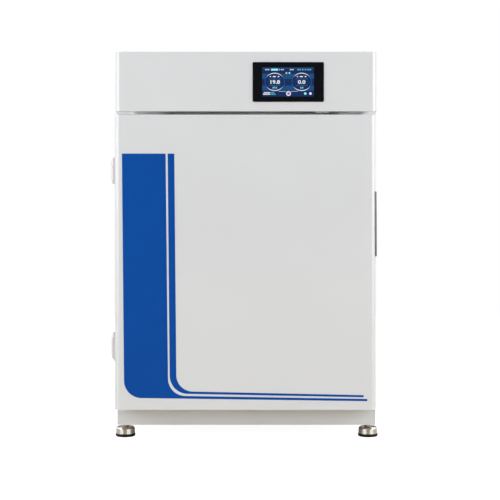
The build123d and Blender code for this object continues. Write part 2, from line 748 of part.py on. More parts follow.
def gas_inlet():
    """Bulkhead fitting with a hose spigot outside and a nut inside."""
    body = rod(6, 10, (GAS_X, REAR_Y - 8, GAS_Z), "Y")
    flange = Pos(GAS_X, REAR_Y, GAS_Z) * Rot(-90, 0, 0) * extrude(RegularPolygon(9, 6), 4)
    spigot = rod(4, 14.5, (GAS_X, REAR_Y + 4, GAS_Z), "Y")
    nut = Pos(GAS_X, REAR_Y - 7.5, GAS_Z) * Rot(-90, 0, 0) * extrude(RegularPolygon(9, 6), 5)
    fitting = body + flange + spigot + nut
    return fitting - rod(2, 60, (GAS_X, REAR_Y - 20, GAS_Z), "Y")


def gas_filter():
    """In-line disc filter behind the inlet."""
    y = REAR_Y - 8
    disc = rod(25, 14, (GAS_X, y - 34, GAS_Z), "Y")
    return disc + rod(4, 20, (GAS_X, y - 20, GAS_Z), "Y") + rod(4, 20, (GAS_X, y - 54, GAS_Z), "Y")


def gas_solenoid():
    """Valve block with a coil, fed by the filter, and the pipe down into the chamber."""
    y = REAR_Y - 62
    low = GAS_Z - 12
    valve = block((GAS_X - 14, GAS_X + 14), (y - 30, y), (low, GAS_Z + 12))
    valve += rod(13, 30, (GAS_X, y - 15, GAS_Z + 12))
    x, y_drop = GAS_DROP
    valve += rod(3, GAS_X - 14 - x, (x, y - 15, GAS_Z), "X")
    valve += Pos(x, y - 15, GAS_Z) * Sphere(3)
    valve += rod(3, y - 15 - y_drop, (x, y_drop, GAS_Z), "Y")
    valve += Pos(x, y_drop, GAS_Z) * Sphere(3)
    return valve + rod(3, GAS_Z - (CEILING - 15), (x, y_drop, CEILING - 15))


# ---- mains inlet and switch ---------------------------------------------------------------------
def power_inlet():
    """Appliance inlet with three flat pins and a fuse drawer beside them."""
    x, z = INLET_X, INLET_Z
    plate = block((x[0] - 4, x[1] + 4), (REAR_Y, REAR_Y + 2.5), (z[0] - 4, z[1] + 4))
    body = block((x[0] + 0.3, x[1] - 0.3), (REAR_Y - 26, REAR_Y), (z[0] + 0.3, z[1] - 0.3))
    socket = block((x[0] + 3, x[0] + 28), (REAR_Y - 15, REAR_Y + 5), (z[0] + 5, z[0] + 23))
    inlet = plate + body - socket
    for dx, dz in ((-7, -3), (7, -3), (0, 4.5)):
        cx = x[0] + 15.5 + dx
        cz = z[0] + 14 + dz
        inlet += block((cx - 1, cx + 1), (REAR_Y - 15, REAR_Y - 1), (cz - 1.5, cz + 1.5))
    drawer = block((x[0] + 32, x[1] - 3), (REAR_Y + 2.5, REAR_Y + 4), (z[0] + 5, z[0] + 23))
    return inlet + drawer


def switch_frame_box(margin):
    """X and Z ranges of the switch cut-out plus a margin."""
    x = (SWITCH_X[0] - margin, SWITCH_X[1] + margin)
    return x, (SWITCH_Z[0] - margin, SWITCH_Z[1] + margin)


def switch_housing():
    """Frame and body of the rocker switch."""
    x, z = switch_frame_box(3)
    plate = block(x, (REAR_Y, REAR_Y + 2), z)
    x, z = switch_frame_box(-0.3)
    body = block(x, (REAR_Y - 24, REAR_Y), z)
    x, z = switch_frame_box(-2.5)
    housing = plate + body - block(x, (REAR_Y - 12, REAR_Y + 5), z)
    return housing - rod(1.5 + PIN_GAP, 19, (SWITCH_X[0] + 1.5, SWITCH_PIVOT_Y, middle(z)), "X")


def power_switch():
    """Rocker that turns about a cross axis, tilted so that its lower end is pressed."""
    x, z = switch_frame_box(-3.2)
    half = (z[1] - z[0]) / 2 - 0.6
    outline = Polyline((-4, -half), (6.5, -half), (4.2, 0), (6.5, half), (-4, half), close=True)
    rocker = extrude(Plane.YZ * make_face(outline), x[1] - x[0])
    rocker += rod(1.5, x[1] - x[0] + 2.8, (-1.4, 0, 0), "X")
    return Pos(x[0], SWITCH_PIVOT_Y, middle(z)) * Rot(SWITCH_REST, 0, 0) * rocker


# ---- outer door ---------------------------------------------------------------------------------
def door_shell():
    """Folded door skin, open at the back, cut for the edge pull."""
    outer = front_rounded(DOOR_X, (FRONT_Y, DOOR_BACK), EDGE_R)
    inner_x = (DOOR_X[0] + SHEET, DOOR_X[1] - SHEET)
    inner = front_rounded(inner_x, (FRONT_Y + SHEET, DOOR_BACK + 5), EDGE_R - SHEET)
    shell = upright(outer, DOOR_Z) - upright(inner, (DOOR_Z[0] + SHEET, DOOR_Z[1] - SHEET))
    cup_z = (HANDLE_Z[0] + 6, HANDLE_Z[1] - 6)
    shell -= block((DOOR_X[1] - 5, DOOR_X[1] + 5), HANDLE_CUP_Y, cup_z)
    for z_mid in HINGE_Z:
        for dz in LEAF_SCREW_DZ:
            shell -= rod(SCREW_HOLE, 6, (DOOR_X[0] - 2, DOOR_SCREW_Y, z_mid + dz), "X")
    return shell


def door_insulation():
    """Foam core of the door, cut round the edge pull and the hinge screws."""
    gap = SHEET + 1.5
    x = (DOOR_X[0] + gap, DOOR_X[1] - gap)
    core = block(x, (FRONT_Y + 10, DOOR_BACK - 6), (DOOR_Z[0] + gap, DOOR_Z[1] - gap))
    cup_z = (HANDLE_Z[0] + 4, HANDLE_Z[1] - 4)
    core -= block((HANDLE_CUP_X - 1, DOOR_X[1]), (HANDLE_CUP_Y[0] - 1, DOOR_BACK), cup_z)
    for z_mid in HINGE_Z:
        z = (z_mid - 36, z_mid + 36)
        core -= block((DOOR_X[0], DOOR_X[0] + 16), (DOOR_SCREW_Y - 6, DOOR_SCREW_Y + 6), z)
    return core


def door_liner():
    """Inner door pan with a shallow pressed field."""
    x = (DOOR_X[0] + SHEET, DOOR_X[1] - SHEET)
    z = (DOOR_Z[0] + SHEET, DOOR_Z[1] - SHEET)
    field_x = (-300, 296)
    field_z = (180, 893)
    pan = block(x, (DOOR_BACK - SHEET, DOOR_BACK), z)
    pan += panel_plate(field_x, field_z, (DOOR_BACK - 4, DOOR_BACK - 1), 24)
    inner_x = (field_x[0] + SHEET, field_x[1] - SHEET)
    inner_z = (field_z[0] + SHEET, field_z[1] - SHEET)
    return pan - panel_plate(inner_x, inner_z, (DOOR_BACK - 4 + SHEET, DOOR_BACK + 1), 22.5)


def door_gasket():
    """Magnetic gasket: a base, a bellows neck and the magnet head."""
    x = (DOOR_X[0] + 12, DOOR_X[1] - 12)
    z = (DOOR_Z[0] + 12, DOOR_Z[1] - 12)
    steps = ((0, 22, -330, -327), (5, 12, -327, -322), (1, 20, -322, FACE_Y - GASKET_GAP))
    gasket = None
    for inset, width, y_low, y_high in steps:
        ring = ring_plate(
            (x[0] + inset, x[1] - inset), (z[0] + inset, z[1] - inset), width, (y_low, y_high), 12
        )
        gasket = ring if gasket is None else gasket + ring
    return gasket


def door_handle():
    """Edge pull: a cup let into the door side and a slanted lip that wraps the rounded edge."""
    side = DOOR_X[1]
    cup_z = (HANDLE_Z[0] + 6.5, HANDLE_Z[1] - 6.5)
    cup_y = (HANDLE_CUP_Y[0] + 0.5, HANDLE_CUP_Y[1] - 0.5)
    cup = block((HANDLE_CUP_X, side + 1), cup_y, cup_z)
    flange = block((side, side + 1.5), (HANDLE_CUP_Y[0] - 5, HANDLE_CUP_Y[1] + 3), HANDLE_Z)
    out = HANDLE_LOW[1]
    plan = make_face(
        Polyline(
            (side - 4.6, -387.2),
            (side - 0.8, -385.4),
            (out - 1, -381),
            (out, -375),
            (out, -354),
            (out - 2, -354),
            (side + 1.5, -368),
            (side, -368),
            (side, -375),
            (side - 8, -380),
            close=True,
        )
    )
    plan -= Pos(side - EDGE_R, FRONT_Y + EDGE_R) * Circle(EDGE_R + 0.2)
    slant = make_face(
        Polyline(
            (HANDLE_LOW[0], HANDLE_Z[0]),
            (HANDLE_LOW[1], HANDLE_Z[0]),
            (HANDLE_HIGH[1], HANDLE_Z[1]),
            (HANDLE_HIGH[0], HANDLE_Z[1]),
            close=True,
        )
    )
    lip = upright(plan, HANDLE_Z) & Pos(0, -350, 0) * extrude(Plane.XZ * slant, 40)
    hollow = block((HANDLE_CUP_X + 2, side + 1.6), (cup_y[0] + 2, cup_y[1] - 2),
                   (cup_z[0] + 2, cup_z[1] - 2))
    return cup + flange - hollow + lip


def door_screws():
    """Screws of the hinge leaves on the door."""
    screws = []
    for z_mid in HINGE_Z:
        for dz in LEAF_SCREW_DZ:
            at = (DOOR_X[0] - LEAF, DOOR_SCREW_Y, z_mid + dz)
            screws.append(pan_screw(at, ("X", 1), 14))
    return group(screws)


def glass_hinge_clips():
    """Clips that grip the glass edge and carry the pivot pins."""
    x, y = GLASS_AXIS
    clips = []
    for z_mid in GLASS_CLIP_Z:
        z = (z_mid - 10.5, z_mid + 10.5)
        clip = block((x, -GLASS_X + 26), (GLASS_Y[0] - 2, GLASS_Y[0]), z)
        clip += block((x, -GLASS_X), (GLASS_Y[0] - 2, GLASS_Y[1] + 2), z)
        clip += block((x, -GLASS_X + 3), (GLASS_Y[1], GLASS_Y[1] + 2), z)
        clip += rod(GLASS_PIVOT_R, z[1] - z[0], (x, y, z[0]))
        clips.append(clip + rod(GLASS_PIN_R, 38, (x, y, z_mid - 19)))
    return group(clips)


def glass_knob():
    """Round pull on the free edge of the glass."""
    x, z = KNOB_XZ
    knob = rod(4, 6, (x, GLASS_Y[0] - 6, z), "Y") + rod(13, 7, (x, GLASS_Y[0] - 13, z), "Y")
    return fillet(knob.faces().sort_by(Axis.Y)[0].edges(), 2.5)


# ---- decal --------------------------------------------------------------------------------------
def film(points, rounded):
    """A thin film on the door front: straight edges, and arcs at the named corners."""
    face = make_face(Polyline(*points, close=True))
    for corner, radius in rounded:
        nearest = face.vertices().sort_by_distance(Vector(*corner, 0))[0]
        face = fillet(nearest, radius)
    return Pos(0, FRONT_Y, 0) * extrude(Plane.XZ * face, FILM)


def door_decal():
    """A wide band and a stripe that lean a little and turn into two thin lines."""
    outer_low, inner_low = (-362.5, 133.0), (-231.5, 139.2)
    band = [
        (-369.2, BAND_TOP),
        (-239.1, BAND_TOP),
        inner_low,
        (361.3, 129.6),
        (361.3, 123.0),
        outer_low,
    ]
    stripe_low, stripe_inner = (-226.5, 145.8), (-206.8, 152.6)
    stripe = [
        (-233.0, BAND_TOP),
        (-213.2, BAND_TOP),
        stripe_inner,
        (350.3, 140.9),
        (350.3, 134.6),
        stripe_low,
    ]
    return group([
        film(band, [(outer_low, 52), (inner_low, 52)]),
        film(stripe, [(stripe_low, 54), (stripe_inner, 49)]),
    ])


# ---- levelling feet -----------------------------------------------------------------------------
def foot_stem(x, y):
    """Threaded stud with its chrome cap, and the jam nut under the plinth."""
    cap = rod(FOOT_R - 1.5, CAP_TOP - PAD_H, (x, y, PAD_H))
    cap = chamfer(cap.edges().sort_by(Axis.Z)[-1], 5, 3)
    cap = fillet(cap.edges().sort_by(Axis.Z)[-1], 1.5)
    inside = CAP_TOP - 5
    stud = rod(FOOT_STUD_R, FOOT_STUD_TOP - inside, (x, y, inside))
    nut_z = CAP_TOP + 1
    nut = Pos(x, y, nut_z) * extrude(RegularPolygon(JAM_NUT_R, 6), PLINTH_Z[0] - nut_z)
    return group([cap + stud, nut - rod(FOOT_STUD_R + 0.1, 30, (x, y, inside))])


def foot_pad(x, y):
    """Rubber base with a softened lower edge."""
    pad = rod(FOOT_R, PAD_H, (x, y, 0))
    pad = fillet(pad.edges().sort_by(Axis.Z)[0], 3)
    return fillet(pad.edges().sort_by(Axis.Z)[-1], 1)


# ---- write every node ---------------------------------------------------------------------------
NODES = {
    "plinth": plinth,
    "side_panel_left": lambda: side_panel(-1),
    "side_panel_right": lambda: side_panel(1),
    "rear_panel": rear_panel,
    "front_frame": front_frame,
    "cabinet_insulation": cabinet_insulation,
    "heater_mats": heater_mats,
    "chamber_liner": chamber_liner,
    "head_casing": head_casing,
    "top_cover": top_cover,
    "head_floor": head_floor,
    "stacking_studs": stacking_studs,
    "display_bezel": display_bezel,
    "display_screen": display_screen,
    "circuit_boards": circuit_boards,
    "power_supply": power_supply,
    "door_sensor": door_sensor,
    "cabinet_hinge_leaves": cabinet_hinge_leaves,
    "hinge_pins": hinge_pins,
    "cabinet_screws": cabinet_screws,
    "glass_gasket": glass_gasket,
    "glass_hinge_brackets": glass_hinge_brackets,
    "rack_uprights": rack_uprights,
    "shelf_runners": shelf_runners,
    "shelf_lower": lambda: shelf(SHELF_TOPS[0]),
    "shelf_middle": lambda: shelf(SHELF_TOPS[1]),
    "shelf_upper": lambda: shelf(SHELF_TOPS[2]),
    "water_pan": water_pan,
    "fan_shroud": fan_shroud,
    "fan_motor": fan_motor,
    "fan_shaft": fan_shaft,
    "fan_impeller": fan_impeller,
    "temperature_probe": temperature_probe,
    "co2_sensor": co2_sensor,
    "port_tube": port_tube,
    "port_stopper": port_stopper,
    "gas_inlet": gas_inlet,
    "gas_filter": gas_filter,
    "gas_solenoid": gas_solenoid,
    "power_inlet": lambda: group([power_inlet(), switch_housing()]),
    "power_switch": power_switch,
    "door_shell": door_shell,
    "door_insulation": door_insulation,
    "door_liner": door_liner,
    "door_gasket": door_gasket,
    "door_hinge_leaves": door_hinge_leaves,
    "door_screws": door_screws,
    "door_handle": door_handle,
    "door_decal": door_decal,
    "inner_glass": inner_glass,
    "glass_hinge_clips": glass_hinge_clips,
    "glass_knob": glass_knob,
}

for name, make in NODES.items():
    save(name, make())

for (x, y), place in zip(
    corners(FOOT_X, FOOT_Y), ("front_left", "rear_left", "front_right", "rear_right")
):
    save(f"foot_stem_{place}", foot_stem(x, y))
    save(f"foot_pad_{place}", foot_pad(x, y))
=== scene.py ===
import json
import math

import bmesh
import bpy
from mathutils import Matrix, Vector


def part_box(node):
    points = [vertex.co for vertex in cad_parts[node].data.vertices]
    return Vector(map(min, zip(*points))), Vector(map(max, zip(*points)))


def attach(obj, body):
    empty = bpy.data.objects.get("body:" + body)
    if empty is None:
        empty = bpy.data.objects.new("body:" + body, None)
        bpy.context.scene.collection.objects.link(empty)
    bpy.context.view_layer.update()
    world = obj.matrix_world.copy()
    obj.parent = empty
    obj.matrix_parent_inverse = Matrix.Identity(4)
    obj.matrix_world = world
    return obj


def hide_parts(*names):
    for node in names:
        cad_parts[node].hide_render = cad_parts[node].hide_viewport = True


# Looks of the laboratory incubator: materials for every node, detailed pieces, lights and camera.
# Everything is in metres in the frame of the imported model: +Z up, the door faces -Y.

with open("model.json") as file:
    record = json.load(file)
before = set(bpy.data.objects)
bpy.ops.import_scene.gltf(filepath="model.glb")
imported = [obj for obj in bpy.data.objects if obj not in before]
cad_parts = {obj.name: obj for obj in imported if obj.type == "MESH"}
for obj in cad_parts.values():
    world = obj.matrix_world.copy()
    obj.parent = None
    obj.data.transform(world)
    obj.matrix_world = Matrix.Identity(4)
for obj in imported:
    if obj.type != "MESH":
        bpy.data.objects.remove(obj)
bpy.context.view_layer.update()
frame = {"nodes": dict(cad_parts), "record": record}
nodes = frame["nodes"]
MM = 0.001


# ---- colour and material helpers ----------------------------------------------------------------
def srgb(red, green, blue):
    """Linear colour from 8-bit display values."""
    def linear(value):
        value /= 255
        return value / 12.92 if value <= 0.04045 else ((value + 0.055) / 1.055) ** 2.4
    return (linear(red), linear(green), linear(blue), 1.0)


def surface(name, colour, roughness, metallic=0.0, **sockets):
    """A Principled material; further sockets are given by name with _ for a space."""
    material = bpy.data.materials.new(name)
    material.use_nodes = True
    shader = material.node_tree.nodes["Principled BSDF"]
    shader.inputs["Base Color"].default_value = colour
    shader.inputs["Roughness"].default_value = roughness
    shader.inputs["Metallic"].default_value = metallic
    for socket, value in sockets.items():
        shader.inputs[socket.replace("_", " ")].default_value = value
    material.diffuse_color = colour
    return material


def shader_of(material):
    """The material's Principled node."""
    return material.node_tree.nodes["Principled BSDF"]


def noise(material, scale, detail=2.0, stretch=(1.0, 1.0, 1.0)):
    """Noise over the object's own coordinates, in metres, stretched along some axes."""
    tree = material.node_tree
    place = tree.nodes.new("ShaderNodeTexCoord")
    mapping = tree.nodes.new("ShaderNodeMapping")
    mapping.inputs["Scale"].default_value = stretch
    texture = tree.nodes.new("ShaderNodeTexNoise")
    texture.inputs["Scale"].default_value = scale
    texture.inputs["Detail"].default_value = detail
    tree.links.new(place.outputs["Object"], mapping.inputs["Vector"])
    tree.links.new(mapping.outputs["Vector"], texture.inputs["Vector"])
    return texture.outputs["Fac"]


def remap(material, value, low, high, start=0.3, end=0.7):
    """A value between start and end becomes one between low and high."""
    tree = material.node_tree
    node = tree.nodes.new("ShaderNodeMapRange")
    node.inputs["From Min"].default_value = start
    node.inputs["From Max"].default_value = end
    node.inputs["To Min"].default_value = low
    node.inputs["To Max"].default_value = high
    tree.links.new(value, node.inputs["Value"])
    return node.outputs["Result"]


def mottle(material, other, scale, detail=2.0, stretch=(1.0, 1.0, 1.0)):
    """The base colour drifts towards another colour."""
    tree = material.node_tree
    shader = shader_of(material)
    mix = tree.nodes.new("ShaderNodeMix")
    mix.data_type = "RGBA"
    mix.inputs[6].default_value = shader.inputs["Base Color"].default_value
    mix.inputs[7].default_value = other
    factor = remap(material, noise(material, scale, detail, stretch), 0.0, 1.0)
    tree.links.new(factor, mix.inputs[0])
    tree.links.new(mix.outputs[2], shader.inputs["Base Color"])
    return material


def uneven_gloss(material, low, high, scale, stretch=(1.0, 1.0, 1.0)):
    """Roughness wanders between two values."""
    value = remap(material, noise(material, scale, 3.0, stretch), low, high)
    material.node_tree.links.new(value, shader_of(material).inputs["Roughness"])
    return material


def relief(material, depth, scale, detail=2.0, stretch=(1.0, 1.0, 1.0), strength=0.5):
    """A fine bump of a depth in metres."""
    tree = material.node_tree
    bump = tree.nodes.new("ShaderNodeBump")
    bump.inputs["Distance"].default_value = depth
    bump.inputs["Strength"].default_value = strength
    tree.links.new(noise(material, scale, detail, stretch), bump.inputs["Height"])
    tree.links.new(bump.outputs["Normal"], shader_of(material).inputs["Normal"])
    return material


def glowing(name, colour):
    """A lit patch of the display."""
    material = surface(name, (0.0, 0.0, 0.0, 1.0), 0.25)
    shader = shader_of(material)
    shader.inputs["Emission Color"].default_value = colour
    shader.inputs["Emission Strength"].default_value = 1.0
    return material


# ---- materials ----------------------------------------------------------------------------------
def powder_coat(name, colour):
    """Satin powder coat with orange peel."""
    material = surface(name, colour, 0.34, Coat_Weight=1.0, Coat_Roughness=0.1, Coat_IOR=1.6)
    tint = tuple(channel * 0.975 for channel in colour[:3]) + (1.0,)
    mottle(material, tint, 3.0)
    uneven_gloss(material, 0.33, 0.41, 260.0)
    return relief(material, 0.00003, 620.0, 1.0, strength=0.3)


def brushed(name, colour, stretch, low=0.24, high=0.36):
    """Brushed stainless steel with its grain along the axis of least stretch."""
    material = surface(name, colour, 0.3, 1.0)
    tint = tuple(channel * 0.88 for channel in colour[:3]) + (1.0,)
    mottle(material, tint, 30.0, 3.0, stretch)
    uneven_gloss(material, low, high, 60.0, stretch)
    return relief(material, 0.00002, 120.0, 3.0, stretch, 0.4)


def polished(name, colour, roughness):
    """Plated metal with faint smears."""
    material = surface(name, colour, roughness, 1.0)
    uneven_gloss(material, roughness * 0.6, roughness * 1.8, 40.0)
    tint = tuple(channel * 0.9 for channel in colour[:3]) + (1.0,)
    return mottle(material, tint, 25.0)


def moulded(name, colour, roughness, grain=0.00004):
    """Moulded plastic or rubber with a fine spark-eroded grain."""
    material = surface(name, colour, roughness)
    tint = tuple(channel * 0.95 for channel in colour[:3]) + (1.0,)
    mottle(material, tint, 18.0)
    uneven_gloss(material, roughness * 0.88, roughness * 1.12, 90.0)
    return relief(material, grain, 900.0, 2.0)


def faced(name, colour, roughness, sheen=0.22):
    """Printed or moulded front with little sheen of its own."""
    material = surface(name, colour, roughness, Specular_IOR_Level=sheen)
    tint = tuple(channel * 0.93 for channel in colour[:3]) + (1.0,)
    mottle(material, tint, 9.0)
    uneven_gloss(material, roughness * 0.9, roughness * 1.15, 60.0)
    return relief(material, 0.00001, 500.0, 1.0, strength=0.2)


def clear_glass():
    """Float glass of the inner door, with faint smears."""
    material = surface(
        "clear_glass", (0.93, 0.97, 0.96, 1.0), 0.02, Transmission_Weight=1.0, IOR=1.5
    )
    return uneven_gloss(material, 0.01, 0.035, 12.0)


def mineral_wool():
    """Layered yellow-brown fibre."""
    material = surface("mineral_wool", srgb(196, 182, 132), 0.95)
    mottle(material, srgb(160, 142, 92), 180.0, 4.0, (1.0, 1.0, 4.0))
    return relief(material, 0.0012, 260.0, 4.0, (1.0, 1.0, 4.0), 0.8)


def dark_screen():
    """Cover glass of the display."""
    material = surface("screen_glass", srgb(14, 28, 66), 0.08, Specular_IOR_Level=0.3)
    mottle(material, srgb(14, 26, 60), 14.0)
    return uneven_gloss(material, 0.06, 0.12, 30.0)


WHITE = srgb(205, 208, 212)
STEEL = (0.60, 0.60, 0.59, 1.0)
MATERIALS = {
    "white_steel": powder_coat("powder_coat_white", WHITE),
    "white_plastic": moulded("plastic_white", srgb(224, 225, 226), 0.45),
    "stainless": brushed("stainless_brushed", STEEL, (1.0, 1.0, 26.0)),
    "chrome": polished("chrome", (0.58, 0.56, 0.54, 1.0), 0.09),
    "black_rubber": faced("rubber_black", srgb(14, 14, 16), 0.5, 0.25),
    "grey_silicone": moulded("silicone_grey", srgb(186, 189, 192), 0.5, 0.00006),
    "orange_silicone": moulded("silicone_orange", srgb(196, 92, 44), 0.6),
    "mineral_wool": mineral_wool(),
    "black_gloss": faced("bezel_black", srgb(9, 11, 17), 0.22),
    "black_plastic": moulded("plastic_black", srgb(26, 26, 28), 0.42),
    "screen_glass": dark_screen(),
    "blue_film": faced("film_blue", (0.0005, 0.060, 0.305, 1.0), 0.36, 0.12),
    "hinge_enamel": powder_coat("enamel_hinge", srgb(208, 205, 208)),
    "dark_bronze": moulded("bronze_dark", srgb(108, 97, 95), 0.34),
    "clear_glass": clear_glass(),
    "green_board": moulded("board_green", srgb(28, 96, 52), 0.4),
    "cast_alloy": moulded("alloy_cast", srgb(150, 152, 154), 0.45, 0.0002),
    "white_nylon": moulded("nylon_white", srgb(226, 227, 228), 0.5),
    "brass": brushed("brass_turned", (0.65, 0.47, 0.20, 1.0), (8.0, 1.0, 8.0)),
}
shader_of(MATERIALS["cast_alloy"]).inputs["Metallic"].default_value = 0.8

for part in frame["record"]["subparts"]:
    mesh = nodes[part["node"]].data
    mesh.materials.clear()
    mesh.materials.append(MATERIALS[part["material_slot"]])
# painted shade: the sensor's plastic is given a darker grey than the rest of its slot, standing in
# for the shade of the gap above the door where it sits
nodes["door_sensor"].data.materials[0] = moulded("plastic_sensor_painted_shade", srgb(150, 151, 154), 0.5)


# ---- geometry helpers ---------------------------------------------------------------------------
CORNER_STEPS = 8                     # facets in each rounded corner of a seal
SMOOTH_ANGLE = 35                    # edges of made pieces sharper than this stay sharp, in degrees


def piece(name, mesh, material, body):
    """A new object that rides on a body and takes its finish from a slot."""
    mesh.materials.append(material)
    thing = bpy.data.objects.new(name, mesh)
    bpy.context.scene.collection.objects.link(thing)
    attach(thing, body)
    return thing


def mesh_from(name, vertices, faces, smooth_angle=None):
    """A closed mesh from points and faces, with outward normals."""
    mesh = bpy.data.meshes.new(name)
    mesh.from_pydata([tuple(v) for v in vertices], [], faces)
    work = bmesh.new()
    work.from_mesh(mesh)
    bmesh.ops.remove_doubles(work, verts=work.verts, dist=1e-7)
    bmesh.ops.recalc_face_normals(work, faces=work.faces)
    work.to_mesh(mesh)
    work.free()
    if smooth_angle is not None:
        for polygon in mesh.polygons:
            polygon.use_smooth = True
        mesh.set_sharp_from_angle(angle=math.radians(smooth_angle))
    return mesh


def slab(name, polygons, back, front):
    """Flat outlines in X and Z given thickness between two Y values."""
    work = bmesh.new()
    for outline in polygons:
        work.faces.new([work.verts.new((x, back, z)) for x, z in outline])
    bmesh.ops.remove_doubles(work, verts=work.verts, dist=1e-7)
    made = bmesh.ops.extrude_face_region(work, geom=work.faces[:])
    moved = [item for item in made["geom"] if isinstance(item, bmesh.types.BMVert)]
    bmesh.ops.translate(work, verts=moved, vec=(0, front - back, 0))
    bmesh.ops.recalc_face_normals(work, faces=work.faces)
    mesh = bpy.data.meshes.new(name)
    work.to_mesh(mesh)
    work.free()
    return mesh


def lathe(rings, steps, place, wobble=None):
    """A turned solid: rings of (radius, height) round a place's Z axis, closed at both ends."""
    vertices = []
    for index, (radius, height) in enumerate(rings):
        for step in range(steps):
            angle = 2 * math.pi * step / steps
            reach = radius * (wobble(index, angle) if wobble else 1.0)
            point = Vector((reach * math.cos(angle), reach * math.sin(angle), height))
            vertices.append(place @ point)
    faces = []
    for ring in range(len(rings) - 1):
        for step in range(steps):
            a = ring * steps + step
            b = ring * steps + (step + 1) % steps
            faces.append((a, b, b + steps, a + steps))
    faces.append(tuple(range(steps)))
    top = (len(rings) - 1) * steps
    faces.append(tuple(range(top, top + steps)))
    return vertices, faces


def frame_sweep(name, x, z, radius, profile):
    """A closed ring facing the front: profile points are (inset, y) from the outer outline."""
    path = []
    for turn, (cx, cz) in enumerate((
        (x[1] - radius, z[1] - radius),
        (x[0] + radius, z[1] - radius),
        (x[0] + radius, z[0] + radius),
        (x[1] - radius, z[0] + radius),
    )):
        for step in range(CORNER_STEPS + 1):
            angle = math.pi / 2 * (turn + step / CORNER_STEPS)
            path.append((cx, cz, math.cos(angle), math.sin(angle)))
    vertices = [
        (cx + (radius - inset) * c, y, cz + (radius - inset) * s)
        for cx, cz, c, s in path
        for inset, y in profile
    ]
    count = len(profile)
    faces = []
    for i in range(len(path)):
        j = (i + 1) % len(path)
        for k in range(count):
            n = (k + 1) % count
            faces.append((i * count + k, i * count + n, j * count + n, j * count + k))
    return mesh_from(name, vertices, faces, 40)


def islands(node):
    """Lowest and highest corner of each separate solid of a node."""
    mesh = nodes[node].data
    key = [tuple(round(c, 6) for c in v.co) for v in mesh.vertices]
    parent = {}

    def root(item):
        while parent.setdefault(item, item) != item:
            parent[item] = parent[parent[item]]
            item = parent[item]
        return item

    for polygon in mesh.polygons:
        first = root(key[polygon.vertices[0]])
        for index in polygon.vertices[1:]:
            parent[root(key[index])] = first
    groups = {}
    for point in set(key):
        groups.setdefault(root(point), []).append(Vector(point))
    boxes = []
    for points in groups.values():
        low = Vector([min(p[i] for p in points) for i in range(3)])
        high = Vector([max(p[i] for p in points) for i in range(3)])
        boxes.append((low, high))
    return sorted(boxes, key=lambda pair: tuple(pair[0]))


def soften(names, width, segments=2):
    """Rounds the sharp edges of folded or moulded nodes a little."""
    for name in names:
        bevel = nodes[name].modifiers.new("edge", "BEVEL")
        bevel.width = width
        bevel.segments = segments
        bevel.limit_method = "ANGLE"
        bevel.angle_limit = math.radians(50)
        bevel.harden_normals = True


# ---- display picture ----------------------------------------------------------------------------
screen_low, screen_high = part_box("display_screen")
LIP = 2.8 * MM                       # part of the screen that the bezel covers on each side
ui_left = screen_low.x + LIP
ui_top = screen_high.z - LIP
ui_width = screen_high.x - screen_low.x - 2 * LIP
ui_height = screen_high.z - screen_low.z - 2 * LIP
LAYER = 0.08 * MM
RING_SQUASH = 0.89                   # height of the ring gauges as a share of their width
ARC_STEPS = 28
DIGIT_WIDEN = 1.25                   # how much wider the digits are than the plain font's
DIGIT_BOLD = 0.035                   # thickening of a digit's strokes as a share of its height
CAP_SHARE = 0.72                     # height of a digit as a share of the font's size
BUTTON = (78.4, 77.2)                # middle of the round button


def ui(x, y):
    """Place on the picture, in millimetres right of and below its top left corner."""
    return ui_left + x * MM, ui_top - y * MM


def ui_box(x, y):
    """Outline of a rectangle from its limits across and down."""
    return [ui(x[0], y[0]), ui(x[1], y[0]), ui(x[1], y[1]), ui(x[0], y[1])]


def ui_disc(x, y, radius, steps=32, squash=1.0):
    """Outline of a round or squashed disc."""
    angles = [2 * math.pi * step / steps for step in range(steps)]
    return [ui(x + radius * math.cos(a), y + radius * squash * math.sin(a)) for a in angles]


def ui_arc(x, y, radius, middle, half_span, thickest):
    """Quads of an arc that is thickest in the middle; angles in degrees, 90 is up."""
    quads = []
    for step in range(ARC_STEPS):
        corners = []
        for t in (step / ARC_STEPS, (step + 1) / ARC_STEPS):
            angle = math.radians(middle + half_span * (2 * t - 1))
            half = thickest / 2 * math.sin(math.pi * min(max(t, 0.02), 0.98)) ** 0.8
            for reach in (radius - half, radius + half):
                lift = reach * RING_SQUASH * math.sin(angle)
                corners.append(ui(x + reach * math.cos(angle), y - lift))
        quads.append([corners[0], corners[1], corners[3], corners[2]])
    return quads


def ui_piece(name, polygons, material, layer):
    """A lit shape of the picture, one thin layer above the last."""
    back = screen_low.y - layer * LAYER
    mesh = slab(name, polygons, back, back - LAYER)
    return piece(name, mesh, material, "root")


def ui_text(name, text, x, y, height, material, layer):
    """Digits centred on a place of the picture."""
    curve = bpy.data.curves.new(name, "FONT")
    curve.body = text
    curve.size = height * MM / CAP_SHARE
    curve.align_x = "CENTER"
    curve.align_y = "CENTER"
    curve.extrude = LAYER / 2
    curve.offset = height * MM * DIGIT_BOLD
    letter = bpy.data.objects.new(name, curve)
    bpy.context.scene.collection.objects.link(letter)
    px, pz = ui(x, y)
    place = Matrix.Translation((px, screen_low.y - (layer + 0.5) * LAYER, pz))
    widen = Matrix.Diagonal((DIGIT_WIDEN, 1.0, 1.0, 1.0))
    letter.matrix_world = place @ Matrix.Rotation(math.pi / 2, 4, "X") @ widen
    bpy.context.view_layer.update()
    graph = bpy.context.evaluated_depsgraph_get()
    mesh = bpy.data.meshes.new_from_object(letter.evaluated_get(graph))
    mesh.transform(letter.matrix_world)
    mesh.materials.clear()
    bpy.data.objects.remove(letter)
    return piece(name, mesh, material, "root")


